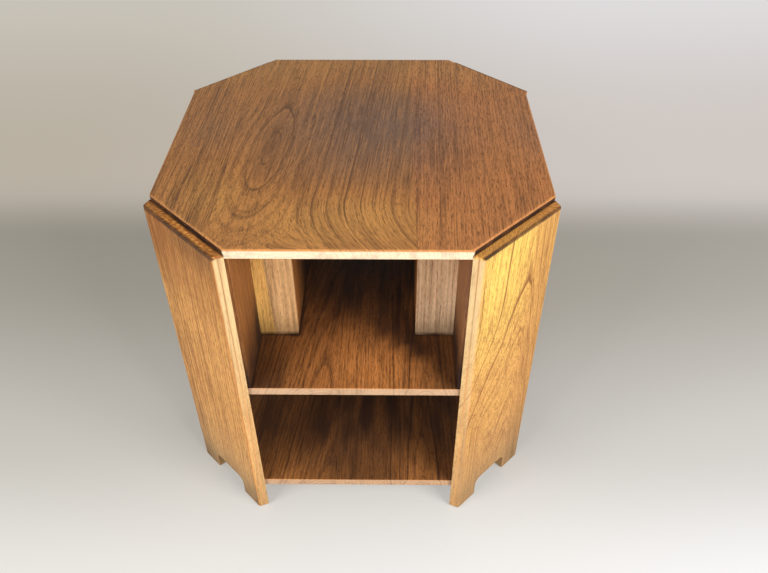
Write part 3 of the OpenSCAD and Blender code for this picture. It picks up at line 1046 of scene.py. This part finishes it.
class ShelvesOperator(bpy.types.Operator):
    """Make the three boards of each shelf"""

    bl_idname = "book_table.shelves"
    bl_label = "Shelves"

    def execute(self, context):
        sizes, colours = context.scene.book_table.boards, context.scene.book_table.colours
        tones = colours.shelf_body, colours.shelf_line, colours.shelf_edge, colours.golden, colours.veil
        material = oak("stained_oak_shelf", *tones, ring=5.5 * MM, figure=1.1, pores=0.9)
        # Pith, depth and lean of the boards
        piths = {"left": (-0.02, 0.05, 0.10), "centre": (-0.18, 0.03, 0.0), "right": (0.098, 0.03, 0.0)}
        feet = [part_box("cheek_back_right"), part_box("cross_divider_back_right")]
        sides = [side for low, high in feet for side in (*low[:2], *high[:2])]
        steps = [away * MM for away in (-9, -5, -2, -0.5, 0.5, 2, 5, 9)]
        rows = every(20 * MM) + [sign * (side + step) for side in sides for step in steps for sign in (-1, 1)]
        log = 3
        shelves = ("middle", MIDDLE_SHELF, middle_shelf_wear_and_shade), ("bottom", BOTTOM_SHELF, bottom_shelf_wear_and_shade)
        for shelf, (_, high), wear_and_shading in shelves:
            for board in BOARDS:
                node = f"{shelf}_shelf_board_{board}"
                pith, depth, lean = piths[board]
                piece = flat_board(node, high.x, sizes.shelf_arris, sizes.shelf_arris)
                draw_lines(piece, [(RIGHT, rows), (BACK, rows)])
                grain = sawn(RIGHT, BACK, UP, pith, depth - high.z, tilt=0.05, lean=lean, log=log)
                finish_board(piece, node, material, UP, grain, wear_and_shading)
                log += 1
        return {"FINISHED"}


class CornerPanelsOperator(bpy.types.Operator):
    """Make the four corner panels with their bracket feet"""

    bl_idname = "book_table.corner_panels"
    bl_label = "Corner panels"

    def execute(self, context):
        colours = context.scene.book_table.colours
        tones = colours.panel_body, colours.panel_line, colours.panel_edge, colours.golden, colours.panel_deep
        plain = oak("stained_oak_panel", *tones, ring=6 * MM, figure=1.2, pores=1.15)
        arched = oak(
            "stained_oak_panel_right", *tones, ring=6 * MM, figure=1.4, bend=2 * MM, rings=PANEL_RINGS
        )
        # Pith, depth, tilt and lean of the panels with a plain figure
        figures = {
            "front_left": (-0.30, 0.03, 0.0, 0.02),
            "back_left": (0.01, 0.05, -0.05, 0.0),
            "back_right": (-0.05, 0.04, -0.06, 0.0),
        }
        depths = [PANEL_INNER + d * MM for d in (0.6, 1.8, 3.0, 4.5, 6.0, 7.0, 8.0, 9.4, 10.8)]
        heights = every(12 * MM) + [PANEL_TOP - d * MM for d in (3.5, 4.5, 6)]
        for log, corner in enumerate(CORNERS, start=10):
            node = "corner_panel_" + corner
            out, along = corner_axes(corner)
            piece = corner_panel(node, corner)
            draw_lines(piece, [(UP, heights), (along, every(8 * MM)), (out, depths)])
            material, grain = arched, flame
            if corner in figures:
                pith, depth, tilt, lean = figures[corner]
                material = plain
                grain = sawn(along, UP, -out, pith, depth + PANEL_INNER + PANEL_T, -tilt, lean, log)
            finish_board(piece, node, material, out, grain, panel_wear_and_shade(corner))
        return {"FINISHED"}


def make_uprights(kind, places, across, face, material, seed, wear_and_shading):
    """The upright boards of one kind, each from its own log."""
    heights = every(25 * MM) + [BAY_Z[0] + up * MM for up in (0.5, 2, 6)]
    draw = np.random.default_rng(seed)
    for place in places:
        node = f"{kind}_{place}"
        piece = divider(node)
        draw_lines(piece, [(UP, heights), (across, every(2 * MM))])
        pith, tilt = draw.uniform(-0.22, 0.22), draw.uniform(-0.05, 0.05)
        log = seed + int(draw.integers(40))
        grain = sawn(across, UP, face, pith, draw.uniform(0.1, 0.3), tilt, 0.0, log)
        finish_board(piece, node, material, face, grain, wear_and_shading)


def upright_oak(name, body, veil, figure, pores):
    """The oak of one kind of upright board, made once."""
    colours = bpy.context.scene.book_table.colours
    made = bpy.data.materials.get(name)
    tones = body, colours.divider_line, body, colours.sapwood, veil
    return made or oak(name, *tones, ring=5 * MM, figure=figure, pores=pores)


def dark_oak():
    """The oak of the cheeks and the inner walls."""
    colours = bpy.context.scene.book_table.colours
    return upright_oak("stained_oak_cheek", colours.cheek_body, colours.veil, figure=1.0, pores=0.95)


class CheeksOperator(bpy.types.Operator):
    """Make the cheeks at the sides of the front and back bays"""

    bl_idname = "book_table.cheeks"
    bl_label = "Cheeks"

    def execute(self, context):
        make_uprights("cheek", CORNERS, BACK, RIGHT, dark_oak(), seed=20, wear_and_shading=cheek_shade_and_dirt)
        return {"FINISHED"}


class CrossDividersOperator(bpy.types.Operator):
    """Make the dividers across the ends of the front and back bays"""

    bl_idname = "book_table.cross_dividers"
    bl_label = "Cross dividers"

    def execute(self, context):
        colours = context.scene.book_table.colours
        tones = colours.divider_body, colours.pale_veil
        material = upright_oak("stained_oak_divider", *tones, figure=0.55, pores=0.65)
        make_uprights("cross_divider", CORNERS, RIGHT, BACK, material, seed=70, wear_and_shading=cross_wear_and_shade)
        return {"FINISHED"}


class InnerWallsOperator(bpy.types.Operator):
    """Make the long walls beside the channel"""

    bl_idname = "book_table.inner_walls"
    bl_label = "Inner walls"

    def execute(self, context):
        make_uprights("inner_wall", ("left", "right"), BACK, RIGHT, dark_oak(), seed=120, wear_and_shading=wall_shade_and_dirt)
        return {"FINISHED"}


class FixingTree(NodeWork):
    """A Geometry Nodes tree under construction, with points coming in and finished fixings going out."""

    def __init__(self, name, inputs):
        super().__init__(bpy.data.node_groups.new(name, "GeometryNodeTree"))
        interface = self.tree.interface
        interface.new_socket("Geometry", in_out="INPUT", socket_type="NodeSocketGeometry")
        interface.new_socket("Geometry", in_out="OUTPUT", socket_type="NodeSocketGeometry")
        self.identifiers = {}
        for label, kind in inputs.items():
            made = interface.new_socket(label, in_out="INPUT", socket_type="NodeSocket" + kind)
            self.identifiers[label] = made.identifier
        self.inputs = self.tree.nodes.new("NodeGroupInput")

    def given(self, label):
        """One of the tree's inputs."""
        return Value(self, self.inputs.outputs[label])

    def vector(self, x=0.0, y=0.0, z=0.0):
        return self.node("ShaderNodeCombineXYZ", {}, {"X": x, "Y": y, "Z": z})

    def raised(self, part, height):
        """A part moved up."""
        sockets = {"Geometry": part, "Offset": self.vector(z=height)}
        return self.node("GeometryNodeSetPosition", {}, sockets)

    def done(self, fixing, turn):
        """Sets the fixing on every point, turned, gives it its material and closes the tree."""
        spread = {"Points": self.given("Geometry"), "Instance": fixing, "Rotation": turn}
        real = {"Geometry": self.node("GeometryNodeInstanceOnPoints", {}, spread)}
        dressed = {"Geometry": self.node("GeometryNodeRealizeInstances", {}, real)}
        dressed["Material"] = self.given("Material")
        made = self.node("GeometryNodeSetMaterial", {}, dressed)
        self.node("NodeGroupOutput", {}, {"Geometry": made})

    def grow(self, name, points, values):
        """Makes a piece at the given points, as a plain mesh."""
        work = bmesh.new()
        for point in points:
            work.verts.new(point)
        piece = as_object(name, work)
        modifier = piece.modifiers.new(name, "NODES")
        modifier.node_group = self.tree
        for label, value in values.items():
            modifier[self.identifiers[label]] = value
        settle(piece)
        return piece


def dowel_tree():
    """Fluted dowels with tapered ends, lying out through the cut corners."""
    inputs = {"Diameter": "Float", "Length": "Float", "Flutes": "Int", "Material": "Material"}
    t = FixingTree("fluted_dowels", inputs)
    half = t.given("Length") * 0.5
    ends = {"Start": t.vector(z=half * -1.0), "End": t.vector(z=half)}
    line = t.node("GeometryNodeCurvePrimitiveLine", {}, ends)
    line = t.node("GeometryNodeResampleCurve", {}, {"Curve": line, "Count": 17})
    share = t.node("GeometryNodeSplineParameter")
    from_end = 0.5 - (share - 0.5).math("ABSOLUTE")
    tapered = {"Value": from_end, "From Min": 0.0, "From Max": 0.06, "To Min": 0.75, "To Max": 1.0}
    taper = t.node("ShaderNodeMapRange", {}, tapered)
    line = t.node("GeometryNodeSetCurveRadius", {}, {"Curve": line, "Radius": taper})
    outer = t.given("Diameter") * 0.5
    star = t.node("GeometryNodeCurveStar", {}, {
        "Points": t.given("Flutes"), "Outer Radius": outer, "Inner Radius": outer * 0.93})
    dowel = t.node("GeometryNodeCurveToMesh", {}, {
        "Curve": line, "Profile Curve": star, "Scale": taper, "Fill Caps": True})
    place = t.node("ShaderNodeSeparateXYZ", {}, {0: t.node("GeometryNodeInputPosition")})
    way = t.vector(place.out("X").math("SIGN"), place.out("Y").math("SIGN"))
    t.done(dowel, t.node("FunctionNodeAlignRotationToVector", {"axis": "Z"}, {"Vector": way}))
    return t


def screw_tree():
    """Countersunk wood screws with a slot and a thread, pointing up from their heads."""
    inputs = dict.fromkeys(("Diameter", "Head", "Length", "Thread"), "Float")
    t = FixingTree("slotted_screws", {**inputs, "Material": "Material"})
    radius, head = t.given("Diameter") * 0.5, t.given("Head") * 0.5
    core, head_height = radius * 0.72, head - radius
    cone = t.node("GeometryNodeMeshCone", {}, {
        "Vertices": 32, "Radius Top": radius, "Radius Bottom": head, "Depth": head_height})
    slot = t.node("GeometryNodeMeshCube", {}, {"Size": t.vector(head * 2.2, head * 0.26, head_height)})
    slot = t.raised(slot, head_height * -0.5)
    cone = t.node("GeometryNodeMeshBoolean", {"operation": "DIFFERENCE"}, {"Mesh 1": cone, "Mesh 2": slot})
    shank_length = t.given("Length") - (head_height + radius)
    shank = t.node("GeometryNodeMeshCylinder", {}, {"Vertices": 24, "Radius": core, "Depth": shank_length})
    shank = t.raised(shank, head_height + shank_length * 0.5)
    tip = t.node("GeometryNodeMeshCone", {}, {
        "Vertices": 24, "Radius Top": 0.0, "Radius Bottom": core, "Depth": radius})
    tip = t.raised(tip, head_height + shank_length)
    thread = t.node("GeometryNodeCurveSpiral", {}, {
        "Resolution": 16, "Rotations": shank_length / t.given("Thread"), "Start Radius": core,
        "End Radius": core, "Height": shank_length})
    flank = t.node("GeometryNodeCurvePrimitiveCircle", {}, {"Resolution": 3, "Radius": radius - core})
    thread = t.node("GeometryNodeCurveToMesh", {}, {
        "Curve": thread, "Profile Curve": flank, "Fill Caps": True})
    thread = t.raised(thread, head_height)
    screw = t.node("GeometryNodeJoinGeometry", {}, {"Geometry": [cone, shank, tip, thread]})
    angle = t.node("FunctionNodeRandomValue", {"data_type": "FLOAT"}, {"Min": 0.0, "Max": math.pi, "Seed": 7})
    t.done(screw, t.node("FunctionNodeEulerToRotation", {}, {0: t.vector(z=angle)}))
    return t


class DowelsOperator(bpy.types.Operator):
    """Make the fluted dowels that hold the shelves to the corner panels"""

    bl_idname = "book_table.dowels"
    bl_label = "Dowels"

    def execute(self, context):
        sizes = context.scene.book_table.fixings
        tree, material = dowel_tree(), beech()
        middle = PANEL_INNER + sizes.dowel_seat - sizes.dowel_length / 2
        for shelf, (low, high) in (("middle", MIDDLE_SHELF), ("bottom", BOTTOM_SHELF)):
            level = UP * (low.z + high.z) / 2
            points = []
            for corner in CORNERS:
                out, along = corner_axes(corner)
                for step in (-1, 0, 1):
                    points.append(out * middle + along * (step * sizes.dowel_pitch) + level)
            node = shelf + "_shelf_dowels"
            piece = tree.grow(node + "_beech", points, {
                "Diameter": sizes.dowel_diameter, "Length": sizes.dowel_length, "Flutes": sizes.dowel_flutes,
                "Material": material})
            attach(piece, "root")
            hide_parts(node)
        return {"FINISHED"}


class ScrewsOperator(bpy.types.Operator):
    """Make the slotted screws that hold the corner blocks to the top"""

    bl_idname = "book_table.screws"
    bl_label = "Screws"

    def execute(self, context):
        sizes = context.scene.book_table.fixings
        node = "corner_block_screws"
        low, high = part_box(node)
        points = []
        for corner in CORNERS:
            out, along = corner_axes(corner)
            block_low, block_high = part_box("corner_block_" + corner)
            middle = along.dot((block_low + block_high) / 2)
            for step in (-0.5, 0.5):
                place = out * (PANEL_INNER - sizes.screw_inset) + along * (middle + step * sizes.screw_pitch)
                points.append(place + UP * low.z)
        piece = screw_tree().grow(node + "_steel", points, {
            "Diameter": sizes.screw_diameter, "Head": sizes.screw_head, "Length": high.z - low.z,
            "Thread": sizes.screw_thread, "Material": steel()})
        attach(piece, "root")
        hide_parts(node)
        return {"FINISHED"}


class BlocksOperator(bpy.types.Operator):
    """Finish the corner blocks under the top and the glue blocks under the bottom shelf"""

    bl_idname = "book_table.blocks"
    bl_label = "Blocks"

    def execute(self, context):
        material = pine()
        for name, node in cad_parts.items():
            if name.startswith(("corner_block_front", "corner_block_back", "glue_block_")):
                node.data.materials.clear()
                node.data.materials.append(material)
        return {"FINISHED"}


OPERATORS = (
    StageOperator, TopOperator, ShelvesOperator, CornerPanelsOperator, CheeksOperator, CrossDividersOperator,
    InnerWallsOperator, DowelsOperator, ScrewsOperator, BlocksOperator,
)


class BookTablePanel(bpy.types.Panel):
    """The steps that build the book table"""

    bl_idname = "VIEW3D_PT_book_table"
    bl_label = "Book Table"
    bl_space_type = "VIEW_3D"
    bl_region_type = "UI"
    bl_category = "Book Table"

    def draw(self, context):
        for operator in OPERATORS:
            self.layout.operator(operator.bl_idname)


CLASSES = (BoardSizes, FixingSizes, Colours, Stage, TableSettings, *OPERATORS, BookTablePanel)


def register():
    for one in CLASSES:
        bpy.utils.register_class(one)
    bpy.types.Scene.book_table = PointerProperty(type=TableSettings)


def unregister():
    del bpy.types.Scene.book_table
    for one in reversed(CLASSES):
        bpy.utils.unregister_class(one)


def main():
    register()
    steps = bpy.ops.book_table
    steps.stage()
    steps.top()
    steps.shelves()
    steps.corner_panels()
    steps.cheeks()
    steps.cross_dividers()
    steps.inner_walls()
    steps.dowels()
    steps.screws()
    steps.blocks()


if __name__ == "__main__":
    main()
